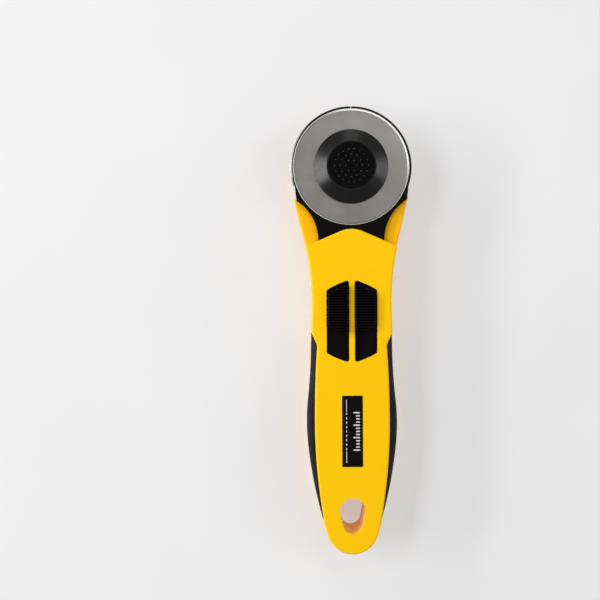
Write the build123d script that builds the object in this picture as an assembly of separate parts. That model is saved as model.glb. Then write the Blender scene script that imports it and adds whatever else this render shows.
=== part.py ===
from build123d import *
import os
from math import acos, atan2, cos, radians, sin, sqrt, tan

# A hand-held rotary cutter: a 45 mm round blade on a quick-change spindle, a blade guard in two
# halves that slide back one by one, a two-shell handle with soft grips and a release slider on
# its back.  The tool lies on its back: +Z is the blade side, +Y points to the cutting end.
# Everything is drawn about the blade axis and moved to the middle of the tool when it is written.

# ---- blade and hub ----------------------------------------------------------------------------
BLADE_R = 22.5            # 45 mm blade
BLADE_T = 0.3
BLADE_BEVEL = 0.7         # width of the honed edge
BLADE_EDGE_T = 0.05       # what the grinding leaves of the thickness at the rim
LOBE_R = 5.1              # three-lobed blade hole: reach of the lobes
LOBE_TIP_R = 1.5          # rounding of one lobe
HOLE_FLAT_R = 4.3         # circle that the flats of the hole touch
SPINDLE_R = 4.05
SPINDLE_LENGTH = 12.1     # below the blade
SPINDLE_HEAD_H = 1.6      # part of the spindle that is held in the hub cap
SPINDLE_FIT = 0.04        # radial clearance of the turning spindle
SPINDLE_LEAD = 0.5        # bevel that leads the spindle into its bush
SPINDLE_SINK = 0.6        # room below the spindle's end
GROOVE_R = 2.8            # neck of the spindle that the latch fork holds
GROOVE_H = 1.2
GROOVE_LIFT = 0.8         # from the spindle's lower end to the groove
HUB_R = 14.35             # foot of the hub's conical flange
HUB_TOP_R = 9.65
HUB_H = 3.0
HUB_SKIRT_H = 0.5         # upright rim at the foot of the cone
HUB_STEP = 0.5            # height of the flat top's upright edge
HUB_DISH_R = 9.15         # shallow dish in the flat top
HUB_DISH_DEPTH = 0.3
HUB_BREAK = 0.12          # broken edge of the rim round the dish
WASHER_R = 6.5
WASHER_T = 0.35
WASHER_H = 0.8            # free height of the conical spring washer
WASHER_BORE_GAP = 0.2     # play between the washer and the spindle
RECESS_GAP = 0.4          # play round the washer in its recess

# ---- levels above the resting plane -------------------------------------------------------------
FRONT_Z = 18.5            # front face of the handle
DECK_Z = 15.5             # deck of the head, which the guard slides over
GUARD_T = 1.2
SLIDE_GAP = 0.2           # running gap above and below the guard
BLADE_GAP = 0.2           # from guard to blade
BUSH_GAP = 0.05           # from the bush to the blade
PARTING_Z = 9.0           # joint between the two shells of the handle
WALL = 2.0

# ---- guard and thumb pads -----------------------------------------------------------------------
GUARD_R = 23.5
GUARD_TRAVEL = 9.0
GUARD_SPLIT = 0.15        # from the middle plane to each half
GUARD_TURN_DEG = 18       # where the rim leaves the circle for the corner
GUARD_BEVEL_W = 0.6       # sloping rim of the guard, seen from the front
GUARD_BEVEL_H = 0.4
CORNER = (21.75, -12.7)   # outer corner of one half, on the line of the handle
NECK_MID = (14.45, -20.8) # half way along the hollow side of the neck
NECK_FOOT = (12.8, -28.5) # where the neck runs straight, under the front cover
TONGUE_INNER = 1.35       # inner edge of the tongue under the slots
TONGUE_OUTER = 10.8       # outer edge of its narrow end
TONGUE_SPLIT_Y = -35.5    # where the inner edge steps out
TONGUE_STEP_Y = -52.5     # where the outer edge steps in
TONGUE_STEP_RUN = 2.0     # length of the slanting outer step
TONGUE_END_Y = -77.0
SLOT_GAP = 0.3            # play round moving pieces in their pockets
PAD_IN = 1.35
PAD_OUT = 9.15
PAD_TOP = (-45.5, -48.9)  # front end of a pad: inner and outer corner
PAD_FOOT = (-64.5, -61.7)
PAD_PROUD = 1.5           # of the front face
PAD_RIB_PITCH = 1.03
PAD_RIB_H = 0.55
PAD_GROOVE_SHARE = 0.64   # width of a groove as a share of the pitch
PAD_CORNER_R = 0.8
PAD_EDGE = 0.3            # broken edge round the top of a pad
PEG_R = 1.2
PEG_X = 5.0
PEG_YS = (-51.0, -58.5)
PEG_FIT = 0.05

# ---- handle -------------------------------------------------------------------------------------
HORN_TIP = (22.05, -12.6)
HORN_SLOPE = -0.221       # how fast the side runs inwards at the horn
NOSE_R = 14.0             # rounded nose of the body below the blade
HANDLE_SIDE = [(18.6, -27.0), (15.4, -55.0), (15.8, -72.0), (17.0, -90.0), (17.05, -108.0)]
TAIL_Y = -149.8
TAIL_R = 10.0
COVER_EDGE_R = 0.8
DECK_EDGE_R = 0.8
BACK_EDGE_R = 6.0
BACK_WAIST_Z = 2.4        # hollow of the back behind the head
PALM_Y = -105.0           # lowest point of the back's swell
TAIL_LOW_Z = 2.2          # the back's level where the tail starts to round
TAIL_RISE = 7.5           # from the palm's level to where the back meets the tail
LAND_END_Y = -15.0        # end of the head's flat land, which the tool rests on
WAIST_Y = -22.0
SPLIT_RAMP_Y = (-33.0, -41.0)   # where the joint drops from the deck to the parting plane

# ---- front cover --------------------------------------------------------------------------------
V_TOP_Y = -23.14          # sharp top of the V-shaped front edge, before rounding
V_SLOPE_DEG = 23.3
V_ROUND_R = 10.7
SLOT_IN = 1.05            # half of the rib between the thumb slots
SLOT_OUT = 9.8
SLOT_TOP = (-43.8, -47.8)
SLOT_FOOT = (-75.7, -72.0)
SLOT_BULGE = 0.35         # crown of the slots' curved ends
SLOT_CORNER_R = 0.9
CENTRE_RIB_Z = 15.0
LEDGE_IN = 11.0           # ledges that carry the guard's tongues
LEDGE_T = 1.2
LEDGE_YS = (-42.0, -62.5)
LOCATOR_R = 1.1           # pins that locate the cover on the deck
LOCATOR_X = 15.6
LOCATOR_Y = -34.6
LOCATOR_DEPTH = 2.5
GRIP_START = (16.6, -62.0)      # the soft strip's ends, just outside the side of the handle
GRIP_SIDE = [(13.45, -69.0), (14.5, -97.9), (11.0, -137.0)]
GRIP_SLOPE = 0.072
GRIP_END = (12.6, -140.5)
GRIP_TURN_R = 3.0               # rounding where the strip's inner side turns outwards
COVER_TURN_R = 2.0              # rounding of the cover's own corners beside the strips
GRIP_DROP = 0.7           # below the front face
GRIP_EDGE_R = 2.5
GRIP_GAP = 0.15
BADGE_W = 7.9
BADGE_L = 27.4
BADGE_Y = -102.2
BADGE_T = 0.5
BADGE_PROUD = 0.08
BADGE_CORNER_R = 0.3
BADGE_GAP = 0.05

# ---- hang hole ----------------------------------------------------------------------------------
HOLE_Y = -133.0
HOLE_R = 4.95
HOLE_TAIL_Y = -137.85
HOLE_TAIL_R = 3.95

# ---- latch and release slider -------------------------------------------------------------------
RELEASE_TRAVEL = 8.0
CHANNEL_HALF = 6.8
CHANNEL_DEPTH = 1.6
CHANNEL_FRONT_Y = -1.0
CHANNEL_FLOOR_T = 1.6
CHANNEL_PLAY = 1.0        # behind the thumb block when it is pulled right back
SLIDER_GAP = 0.15
SLIDER_T = 1.25
THUMB_LENGTH = 16.0
THUMB_BACK_Y = -36.0
THUMB_PROUD = 2.1
THUMB_HALF = 5.2
THUMB_FLAT_HALF = 1.5     # flat crest of the thumb block
THUMB_EDGE_T = 0.2        # plate left under the block's ends
THUMB_RIDGES = 4
THUMB_RIDGE_Y = 2.4       # first ridge, from the middle of the crest
THUMB_RIDGE_PITCH = 1.4
THUMB_RIDGE_H = 0.35
WEB_HALF = 2.6
WEB_INSET = 1.2           # from the ends of the thumb block
FORK_T = 0.8
FORK_HALF = 5.2
FORK_TIP_Y = 2.4
FORK_GAP = 0.15
FORK_CORNER_R = 1.0
FORK_TAB_H = 5.4          # upright tab that the spring pushes on
FORK_TAB_SET = 0.5        # from the thumb block's end to the tab
FORK_TAIL = 6.3           # plate behind the tab, which keeps the slot below it shut
RIVET_R = 1.0
RIVET_HEAD_R = 1.7
RIVET_HEAD_T = 0.5
RIVET_INSET = 3.0         # from the ends of the web
TUNNEL_HALF = 12.0
TUNNEL_FRONT_Y = -8.5
DECK_T = 2.2
BUSH_R = 5.2
BUSH_BOSS_R = 7.6
NOSE_POCKET_Y = 5.6
SPRING_LENGTH = 15.0
SPRING_R = 2.1
SPRING_WIRE = 0.55
SPRING_TURNS = 5.5
SPRING_WIRE_FLATS = 6     # the round wire is drawn with six flats
SPRING_PIN_R = 1.3
SPRING_STOP_T = 2.0
SPRING_STOP_HALF = 4.0
GUIDE_T = 1.2             # ribs that guide the fork

# ---- click springs and case screws --------------------------------------------------------------
CLICK_X = 6.0
CLICK_W = 4.4
CLICK_T = 0.35
CLICK_FOOT = (3.0, 4.0)   # flat foot behind and before the post
CLICK_LIP_RUN = 2.2       # down-turned lip past the crown
CLICK_LIP_DROP = 1.4
CLICK_BEND_R = 0.6
CLICK_CROWN_Y = -72.0
CLICK_REACH = 1.0         # half length of the crown that dips into the guard's track
CLICK_POST_Y = -92.0
CLICK_POST_R = 2.6
CLICK_POST_Z = 12.6
CLICK_PEG_R = 0.9
CLICK_PEG_H = 1.0
TRACK_DEPTH = 0.45
SCREW_PLACES = [(0.0, -91.8), (-7.2, -117.0), (7.2, -117.0)]
SCREW_R = 1.3
SCREW_HEAD_R = 2.6
SCREW_HEAD_H = 1.5
SCREW_SINK = 1.0          # below the lowest point of the back
SCREW_LENGTH = 12.0
SCREW_HOLE_MORE = 1.0     # depth of a screw's hole past its end
SCREW_DRIVE_W = 0.55
SCREW_DRIVE_L = 3.0
SCREW_DRIVE_DEPTH = 0.7
BOSS_R = 3.0
BOSS_FIT = 0.05
BOSS_MEET_Z = 6.0

# ---- worked out from the above ------------------------------------------------------------------
GUARD_Z = DECK_Z + SLIDE_GAP
GUARD_TOP = GUARD_Z + GUARD_T
LIP_Z = GUARD_TOP + SLIDE_GAP
BLADE_Z = GUARD_TOP + BLADE_GAP
BLADE_TOP = BLADE_Z + BLADE_T
HUB_TOP = BLADE_TOP + HUB_H
RECESS_R = WASHER_R + RECESS_GAP
SPINDLE_Z = BLADE_Z - SPINDLE_LENGTH
SPINDLE_TOP = BLADE_TOP + WASHER_H + SPINDLE_HEAD_H
GROOVE_Z = SPINDLE_Z + GROOVE_LIFT
FORK_Z = GROOVE_Z + (GROOVE_H - FORK_T) / 2
FORK_TOP = FORK_Z + FORK_T
CHANNEL_Z = BACK_WAIST_Z + CHANNEL_DEPTH
TUNNEL_Z = CHANNEL_Z + CHANNEL_FLOOR_T
THUMB_FRONT_Y = THUMB_BACK_Y + THUMB_LENGTH
WEB_YS = (THUMB_FRONT_Y - WEB_INSET, THUMB_BACK_Y + WEB_INSET)
CHANNEL_END_Y = THUMB_BACK_Y - RELEASE_TRAVEL - CHANNEL_PLAY
FORK_BACK_Y = THUMB_BACK_Y - FORK_TAB_SET
PAD_TOP_Z = FRONT_Z + PAD_PROUD
SPLIT_STOP_Y = TONGUE_SPLIT_Y - TONGUE_INNER - GUARD_TRAVEL   # end of the way between the tongues
HEAD_SHIFT = -(GUARD_R + TAIL_Y) / 2
COINCIDENT = 0.001
ABOVE = FRONT_Z + 10      # well clear of the tool: above it, below it, and past it on each side
BELOW = -10.0
BEYOND = 40.0


def slab(face, z_low, z_high):
    """A flat face made into a solid between two levels."""
    return extrude(Pos(0, 0, z_low) * face, z_high - z_low, dir=(0, 0, 1))


def box(x_low, x_high, y_low, y_high, z_low, z_high):
    """A block between corners that may come in either order along y."""
    size = (x_high - x_low, abs(y_high - y_low), z_high - z_low)
    return Pos((x_low + x_high) / 2, (y_low + y_high) / 2, (z_low + z_high) / 2) * Box(*size)


def pin(x, y, radius, z_low, z_high):
    """An upright round pin."""
    return Pos(x, y, (z_low + z_high) / 2) * Cylinder(radius, z_high - z_low)


def mirrored(shape):
    """The left-hand copy of a right-hand shape."""
    return mirror(shape, about=Plane.YZ)


def both_sides(shape):
    return shape + mirrored(shape)


def turned(points):
    """A solid of revolution about the blade axis, from radius and height pairs."""
    profile = make_face(Plane.XZ * Polyline(*points, close=True))
    return revolve(profile, Axis.Z)


def long_section(edges, half_width=BEYOND):
    """A side view, drawn along the tool and upwards, made into a solid across the tool."""
    face = Plane.YZ.offset(-half_width) * make_face(edges)
    return extrude(face, 2 * half_width, dir=(1, 0, 0))


def arc_chain(points, heading):
    """Arcs from point to point, each running on smoothly from the one before."""
    arcs = []
    for start, end in zip(points, points[1:]):
        arcs.append(TangentArc(start, end, tangent=heading))
        heading = arcs[-1] % 1
    return arcs


# ---- outlines seen from the front ---------------------------------------------------------------
def body_outline():
    """Nose, horns, handle and tail in one closed outline."""
    tip = Vector(*HORN_TIP)
    nose_turn = atan2(tip.Y, tip.X) + acos(NOSE_R / tip.length)
    nose_start = Vector(NOSE_R * cos(nose_turn), NOSE_R * sin(nose_turn))
    nose_mid = Vector(NOSE_R * sin(nose_turn), NOSE_R * cos(nose_turn))
    nose = ThreePointArc((0, NOSE_R), nose_mid, nose_start)
    side = arc_chain([HORN_TIP, *HANDLE_SIDE], (HORN_SLOPE, -1))
    right = [nose, Line(nose_start, tip), *side, *tail_arcs(side[-1] @ 1, side[-1] % 1)]
    return make_face(right + [mirrored(edge) for edge in right])


def tail_arcs(start, heading):
    """The last long arc of the side, and the tail's arc that it runs into smoothly."""
    middle = Vector(0, TAIL_Y + TAIL_R)
    outward = Vector(-heading.Y, heading.X)
    reach = start - middle
    radius = (reach.length**2 - TAIL_R**2) / (2 * (reach.dot(outward) - TAIL_R))
    centre = start - outward * radius
    join = middle + (middle - centre).normalized() * TAIL_R
    return TangentArc(start, join, tangent=heading), TangentArc((0, TAIL_Y), join, tangent=(1, 0))


def grip_zone():
    """Right-hand area beside the front cover that the soft strip fills."""
    inner = arc_chain(GRIP_SIDE, (GRIP_SLOPE, -1))
    outer = Polyline(GRIP_SIDE[-1], GRIP_END, (BEYOND, GRIP_END[1]), (BEYOND, GRIP_START[1]),
                     GRIP_START, GRIP_SIDE[0])
    zone = make_face([*inner, outer])
    ends = (GRIP_SIDE[0], GRIP_SIDE[-1])
    turns = [zone.vertices().sort_by_distance((*end, 0))[0] for end in ends]
    return fillet(turns, GRIP_TURN_R)


def cover_outline():
    """The handle's outline without the strips of the grips."""
    body = body_outline()
    plan = body - both_sides(grip_zone())
    crossings = [vertex for vertex in plan.vertices()
                 if GRIP_END[1] < vertex.Y < GRIP_START[1]
                 and vertex.distance_to(body.wire()) < COINCIDENT]
    return fillet(crossings, COVER_TURN_R)


def v_area():
    """Everything behind the V-shaped front edge of the cover."""
    low = V_TOP_Y - BEYOND * tan(radians(V_SLOPE_DEG))
    back = TAIL_Y - BEYOND
    area = make_face(Polyline((0, V_TOP_Y), (BEYOND, low), (BEYOND, back), (-BEYOND, back),
                              (-BEYOND, low), close=True))
    top = area.vertices().sort_by(Axis.Y)[-1]
    return fillet(top, V_ROUND_R)


def guard_outline():
    """Right-hand half of the guard with its tongue, before the spindle's slot."""
    turn = radians(GUARD_TURN_DEG)
    split = GUARD_SPLIT
    top = Vector(split, sqrt(GUARD_R**2 - split**2))
    rim_end = Vector(GUARD_R * cos(turn), -GUARD_R * sin(turn))
    rim = ThreePointArc(top, Vector(GUARD_R * cos(turn), GUARD_R * sin(turn)), rim_end)
    corner = Vector(*CORNER)
    hollow = ThreePointArc(corner, NECK_MID, NECK_FOOT)
    tongue = Polyline(NECK_FOOT, (NECK_FOOT[0], TONGUE_STEP_Y),
                      (TONGUE_OUTER, TONGUE_STEP_Y - TONGUE_STEP_RUN),
                      (TONGUE_OUTER, TONGUE_END_Y), (TONGUE_INNER, TONGUE_END_Y),
                      (TONGUE_INNER, TONGUE_SPLIT_Y - TONGUE_INNER), (split, TONGUE_SPLIT_Y), top)
    return make_face([rim, Line(rim_end, corner), hollow, tongue])


def curved_strip(inner, outer, top, foot, bulge):
    """Right-hand four-sided outline whose front and back ends are slightly bowed."""
    upper = ThreePointArc((inner, top[0]), ((inner + outer) / 2, (top[0] + top[1]) / 2 + bulge),
                          (outer, top[1]))
    lower = ThreePointArc((outer, foot[1]), ((inner + outer) / 2, (foot[0] + foot[1]) / 2 - bulge),
                          (inner, foot[0]))
    return make_face([upper, Line((outer, top[1]), (outer, foot[1])), lower,
                      Line((inner, foot[0]), (inner, top[0]))])


def thumb_slot():
    face = curved_strip(SLOT_IN, SLOT_OUT, SLOT_TOP, SLOT_FOOT, SLOT_BULGE)
    return fillet(face.vertices(), SLOT_CORNER_R)


def hole_outline(grow=0.0):
    """Egg-shaped hang hole, larger by a given margin."""
    big = Pos(0, HOLE_Y) * Circle(HOLE_R + grow)
    small = Pos(0, HOLE_TAIL_Y) * Circle(HOLE_TAIL_R + grow)
    return make_hull(big.edges() + small.edges())


# ---- side views, drawn along the tool and upwards -----------------------------------------------
def halfway(start, end):
    return (start[0] + end[0]) / 2, (start[1] + end[1]) / 2


def back_profile(grow=0.0):
    """Side view of the rear body, drawn inwards by a given wall."""
    land_end = (LAND_END_Y, grow)
    waist = (WAIST_Y, grow + BACK_WAIST_Z)
    palm = (PALM_Y, grow)
    tail_low = (TAIL_Y + TAIL_R, grow + TAIL_LOW_Z)
    tail_end = (TAIL_Y + grow, grow + TAIL_RISE)
    back = arc_chain([land_end, halfway(land_end, waist), waist, halfway(waist, palm), palm,
                      tail_low, tail_end], (-1, 0))
    rest = Polyline(tail_end, (tail_end[0], ABOVE), (BEYOND, ABOVE), (BEYOND, grow), land_end)
    return [*back, rest]


def split_area():
    """Side view of all that belongs to the front cover."""
    back = TAIL_Y - BEYOND
    return Polyline((BEYOND, DECK_Z), (SPLIT_RAMP_Y[0], DECK_Z), (SPLIT_RAMP_Y[1], PARTING_Z),
                    (back, PARTING_Z), (back, ABOVE), (BEYOND, ABOVE), close=True)


# ---- rear body ----------------------------------------------------------------------------------
def rear_blank():
    """Outer form of the rear body up to its deck and parting plane."""
    form = slab(body_outline(), 0, DECK_Z)
    form = fillet(form.faces().sort_by(Axis.Z)[0].edges(), BACK_EDGE_R)
    form = fillet(form.faces().sort_by(Axis.Z)[-1].edges(), DECK_EDGE_R)
    return (form & long_section(back_profile())) - long_section([split_area()])


def handle_cavity(z_low, z_high):
    """Hollow of the handle inside the front cover's walls."""
    inner = offset(cover_outline(), -WALL)
    keep = box(-BEYOND, BEYOND, SPLIT_RAMP_Y[1] - WALL, TAIL_Y, z_low, z_high)
    return slab(inner, z_low, z_high) & keep


def latch_tunnel():
    """Room for the fork and its spring under the deck, open to the hollow of the handle."""
    return box(-TUNNEL_HALF, TUNNEL_HALF, TUNNEL_FRONT_Y, SPLIT_RAMP_Y[1] - 2 * WALL,
               TUNNEL_Z, DECK_Z - DECK_T)


def rear_body():
    body = rear_blank()
    floor = long_section(back_profile(WALL))
    body -= handle_cavity(BELOW, ABOVE) & floor
    body -= latch_tunnel()
    body += pin(0, 0, BUSH_BOSS_R, FORK_TOP + FORK_GAP, DECK_Z)
    nose_half = FORK_HALF + SLOT_GAP
    body -= box(-nose_half, nose_half, TUNNEL_FRONT_Y - WALL, NOSE_POCKET_Y,
                SPINDLE_Z - SPINDLE_SINK, FORK_TOP + FORK_GAP)
    body -= pin(0, 0, BUSH_R + BOSS_FIT, FORK_Z, ABOVE)
    body -= box(-CHANNEL_HALF, CHANNEL_HALF, CHANNEL_FRONT_Y, CHANNEL_END_Y, BELOW, CHANNEL_Z)
    slot_half = WEB_HALF + SLOT_GAP
    body -= box(-slot_half, slot_half, WEB_YS[0] + SLOT_GAP, WEB_YS[1] - RELEASE_TRAVEL - SLOT_GAP,
                BELOW, TUNNEL_Z)
    bosses = [pin(x, y, BOSS_R, 0, BOSS_MEET_Z) for x, y in SCREW_PLACES]
    tube = slab(hole_outline(WALL), 0, PARTING_Z)
    body += (rear_ribs() + bosses + tube) & long_section(back_profile(WALL / 2))
    for x, y in SCREW_PLACES:
        body -= pin(x, y, SCREW_R + BOSS_FIT, BELOW, ABOVE)
        body -= pin(x, y, SCREW_HEAD_R + BOSS_FIT, BELOW, SCREW_SINK + SCREW_HEAD_H)
    body -= slab(hole_outline(), BELOW, ABOVE)
    return body - both_sides(pin(LOCATOR_X, LOCATOR_Y, LOCATOR_R + BOSS_FIT,
                                 DECK_Z - LOCATOR_DEPTH - SLOT_GAP, ABOVE))


def rear_ribs():
    """Spring stop, fork guides and the posts of the click springs."""
    stop_y = FORK_BACK_Y - SPRING_LENGTH
    stop_top = FORK_TOP + FORK_TAB_H
    stop = box(-SPRING_STOP_HALF, SPRING_STOP_HALF, stop_y, stop_y - SPRING_STOP_T, 0, stop_top)
    pin_length = SPRING_LENGTH - RELEASE_TRAVEL - SPRING_STOP_T
    spring_pin = Pos(0, stop_y + pin_length / 2, spring_axis_z()) * Rot(90, 0, 0) * Cylinder(
        SPRING_PIN_R, pin_length)
    guide_in = FORK_HALF + SLOT_GAP
    guide = box(guide_in, guide_in + GUIDE_T, THUMB_FRONT_Y, WEB_YS[1] - RELEASE_TRAVEL,
                CHANNEL_Z, FORK_TOP)
    post = pin(CLICK_X, CLICK_POST_Y, CLICK_POST_R, 0, CLICK_POST_Z)
    peg = pin(CLICK_X, CLICK_POST_Y, CLICK_PEG_R, CLICK_POST_Z, CLICK_POST_Z + CLICK_PEG_H)
    return stop + spring_pin + both_sides(guide + post + peg)


def spring_axis_z():
    return FORK_TOP + FORK_TAB_H / 2


# ---- front cover --------------------------------------------------------------------------------
def front_cover():
    plan = cover_outline() & v_area()
    cover = slab(plan, PARTING_Z, FRONT_Z)
    cover = fillet(cover.faces().sort_by(Axis.Z)[-1].edges(), COVER_EDGE_R)
    cover &= long_section([split_area()])
    cover -= handle_cavity(BELOW, FRONT_Z - WALL)
    cover -= latch_tunnel()
    cover -= guard_pocket()
    ledge = box(LEDGE_IN, BEYOND, LEDGE_YS[0], LEDGE_YS[1], DECK_Z - LEDGE_T, DECK_Z)
    rib = box(-SLOT_IN, SLOT_IN, SPLIT_STOP_Y, SLOT_FOOT[0] - WALL / 2, CENTRE_RIB_Z, LIP_Z + WALL / 2)
    cover += (both_sides(ledge) + rib) & slab(offset(cover_outline(), -WALL / 2), 0, ABOVE)
    cover -= both_sides(slab(thumb_slot(), GUARD_Z, ABOVE))
    for x, y in SCREW_PLACES:
        cover += pin(x, y, BOSS_R, BOSS_MEET_Z, FRONT_Z - WALL / 2)
        cover -= pin(x, y, SCREW_R + BOSS_FIT, BELOW, SCREW_SINK + SCREW_LENGTH + SCREW_HOLE_MORE)
    cover += slab(hole_outline(WALL), PARTING_Z, FRONT_Z - WALL / 2)
    cover -= slab(hole_outline(), BELOW, ABOVE)
    cover += both_sides(pin(LOCATOR_X, LOCATOR_Y, LOCATOR_R, DECK_Z - LOCATOR_DEPTH, GUARD_Z))
    recess = Pos(0, BADGE_Y) * RectangleRounded(BADGE_W + 2 * BADGE_GAP, BADGE_L + 2 * BADGE_GAP,
                                                BADGE_CORNER_R)
    return cover - slab(recess, FRONT_Z + BADGE_PROUD - BADGE_T, ABOVE)


def guard_pocket():
    """Room for the guard's neck and tongues over their whole travel."""
    half = Pos(0, -GUARD_TRAVEL) * offset(guard_outline(), SLOT_GAP)
    still = offset(guard_outline(), SLOT_GAP)
    middle = box(-TONGUE_INNER, TONGUE_INNER, V_TOP_Y, SPLIT_STOP_Y, DECK_Z, LIP_Z)
    return both_sides(slab(half, DECK_Z, LIP_Z) + slab(still, DECK_Z, LIP_Z)) + middle


# ---- grips, badge -------------------------------------------------------------------------------
def grip(side):
    strip = slab(body_outline(), PARTING_Z, FRONT_Z - GRIP_DROP)
    strip = fillet(strip.faces().sort_by(Axis.Z)[-1].edges(), GRIP_EDGE_R)
    strip &= slab(offset(grip_zone(), -GRIP_GAP), PARTING_Z, FRONT_Z)
    return strip if side > 0 else mirrored(strip)


def badge():
    face = Pos(0, BADGE_Y) * RectangleRounded(BADGE_W, BADGE_L, BADGE_CORNER_R)
    return slab(face, FRONT_Z + BADGE_PROUD - BADGE_T, FRONT_Z + BADGE_PROUD)


# ---- blade group --------------------------------------------------------------------------------
def blade():
    """Ground on both faces towards the rim, with the three-lobed hole."""
    ground = (BLADE_T - BLADE_EDGE_T) / 2
    flat_r = BLADE_R - BLADE_BEVEL
    disc = turned([(0, BLADE_Z), (flat_r, BLADE_Z), (BLADE_R, BLADE_Z + ground),
                   (BLADE_R, BLADE_TOP - ground), (flat_r, BLADE_TOP), (0, BLADE_TOP)])
    lobe_arm = LOBE_R - LOBE_TIP_R
    lobes = [Rot(0, 0, turn) * Pos(0, lobe_arm) * Circle(LOBE_TIP_R) for turn in (0, 120, 240)]
    hole = Circle(HOLE_FLAT_R) + lobes
    return disc - slab(hole, BLADE_Z - BLADE_T, BLADE_TOP + BLADE_T)


def hub_cap():
    foot = BLADE_TOP
    cap = turned([(0, foot), (HUB_R, foot), (HUB_R, foot + HUB_SKIRT_H),
                  (HUB_TOP_R, HUB_TOP - HUB_STEP), (HUB_TOP_R, HUB_TOP - HUB_BREAK),
                  (HUB_TOP_R - HUB_BREAK, HUB_TOP), (HUB_DISH_R, HUB_TOP),
                  (HUB_DISH_R, HUB_TOP - HUB_DISH_DEPTH), (0, HUB_TOP - HUB_DISH_DEPTH)])
    cap -= pin(0, 0, RECESS_R, foot, foot + WASHER_H)
    return cap - pin(0, 0, SPINDLE_R, foot, SPINDLE_TOP)


def spindle():
    r, neck, end = SPINDLE_R, GROOVE_R, SPINDLE_Z
    return turned([(0, end), (r - SPINDLE_LEAD, end), (r, end + SPINDLE_LEAD), (r, GROOVE_Z),
                   (neck, GROOVE_Z), (neck, GROOVE_Z + GROOVE_H), (r, GROOVE_Z + GROOVE_H),
                   (r, SPINDLE_TOP), (0, SPINDLE_TOP)])


def spring_washer():
    inner, outer, foot = SPINDLE_R + WASHER_BORE_GAP, WASHER_R, BLADE_TOP
    rise = WASHER_H - WASHER_T
    return turned([(inner, foot + rise), (outer, foot), (outer, foot + WASHER_T),
                   (inner, foot + rise + WASHER_T)])


def spindle_bush():
    bore = SPINDLE_R + SPINDLE_FIT
    low, high = FORK_TOP + FORK_GAP, BLADE_Z - BUSH_GAP
    return turned([(bore, low), (BUSH_R, low), (BUSH_R, high), (bore, high)])


# ---- guard halves and pads ----------------------------------------------------------------------
def guard(side):
    plate = slab(guard_outline(), GUARD_Z, GUARD_TOP)
    top = plate.faces().sort_by(Axis.Z)[-1]
    rim = [edge for edge in top.edges()
           if edge.center().Y > CORNER[1] and edge.center().X > GUARD_BEVEL_W]
    plate = chamfer(rim, GUARD_BEVEL_W, GUARD_BEVEL_H, reference=top)
    slot_r = BUSH_R + SLOT_GAP
    slot = slab(SlotCenterToCenter(GUARD_TRAVEL, 2 * slot_r, rotation=90), BELOW, ABOVE)
    plate -= Pos(0, GUARD_TRAVEL / 2) * slot
    for y in PEG_YS:
        plate -= pin(PEG_X, y, PEG_R + PEG_FIT, BELOW, ABOVE)
    half = CLICK_W / 2 + SLOT_GAP
    reach = CLICK_REACH + 2 * SLOT_GAP
    plate -= box(CLICK_X - half, CLICK_X + half, CLICK_CROWN_Y - reach,
                 CLICK_CROWN_Y + GUARD_TRAVEL + reach, BELOW, GUARD_Z + TRACK_DEPTH)
    return plate if side > 0 else mirrored(plate)


def thumb_pad(side):
    face = curved_strip(PAD_IN, PAD_OUT, PAD_TOP, PAD_FOOT, SLOT_BULGE)
    face = fillet(face.vertices(), PAD_CORNER_R)
    pad = slab(face, GUARD_TOP, PAD_TOP_Z)
    pad = chamfer(pad.faces().sort_by(Axis.Z)[-1].edges(), PAD_EDGE)
    count = int((PAD_TOP[0] - PAD_FOOT[0]) / PAD_RIB_PITCH) + 1
    groove_half = PAD_GROOVE_SHARE * PAD_RIB_PITCH / 2
    groove = make_face(Polyline((-groove_half, 0), (0, -PAD_RIB_H), (groove_half, 0), close=True))
    cutter = extrude(Plane.YZ * groove, 2 * PAD_OUT, both=True)
    places = [Pos(0, PAD_TOP[0] - (index + 0.5) * PAD_RIB_PITCH, PAD_TOP_Z) for index in range(count)]
    pad -= [place * cutter for place in places]
    for y in PEG_YS:
        pad += pin(PEG_X, y, PEG_R, GUARD_Z + PEG_FIT, GUARD_TOP)
    return pad if side > 0 else mirrored(pad)


# ---- latch --------------------------------------------------------------------------------------
def release_slider():
    plate_z = CHANNEL_Z - SLIDER_GAP - SLIDER_T
    half = CHANNEL_HALF - SLOT_GAP
    front = CHANNEL_FRONT_Y - SLOT_GAP
    plate = box(-half, half, front, THUMB_BACK_Y, plate_z, CHANNEL_Z - SLIDER_GAP)
    peak_z = BACK_WAIST_Z - THUMB_PROUD
    middle = (THUMB_FRONT_Y + THUMB_BACK_Y) / 2
    edge_z = plate_z + THUMB_EDGE_T
    roof = long_section([Polyline((THUMB_FRONT_Y, edge_z), (middle + THUMB_FLAT_HALF, peak_z),
                                  (middle - THUMB_FLAT_HALF, peak_z), (THUMB_BACK_Y, edge_z),
                                  close=True)], THUMB_HALF)
    slider = plate + roof
    for index in range(THUMB_RIDGES):
        for sign in (1, -1):
            y = middle + sign * (THUMB_RIDGE_Y + index * THUMB_RIDGE_PITCH)
            level = ridge_level(abs(y - middle), peak_z, edge_z)
            slider -= Pos(0, y, level) * Rot(0, 90, 0) * Cylinder(THUMB_RIDGE_H, 2 * CHANNEL_HALF)
    slider += box(-WEB_HALF, WEB_HALF, WEB_YS[0], WEB_YS[1], edge_z, FORK_Z)
    for y in rivet_ys():
        slider -= pin(0, y, RIVET_R + PEG_FIT, CHANNEL_Z, ABOVE)
    return slider


def ridge_level(distance, peak_z, edge_z):
    """Height of the thumb block's sloping faces at a distance from its middle."""
    share = (distance - THUMB_FLAT_HALF) / (THUMB_LENGTH / 2 - THUMB_FLAT_HALF)
    return peak_z + share * (edge_z - peak_z)


def rivet_ys():
    return WEB_YS[0] - RIVET_INSET, WEB_YS[1] + RIVET_INSET


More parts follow.
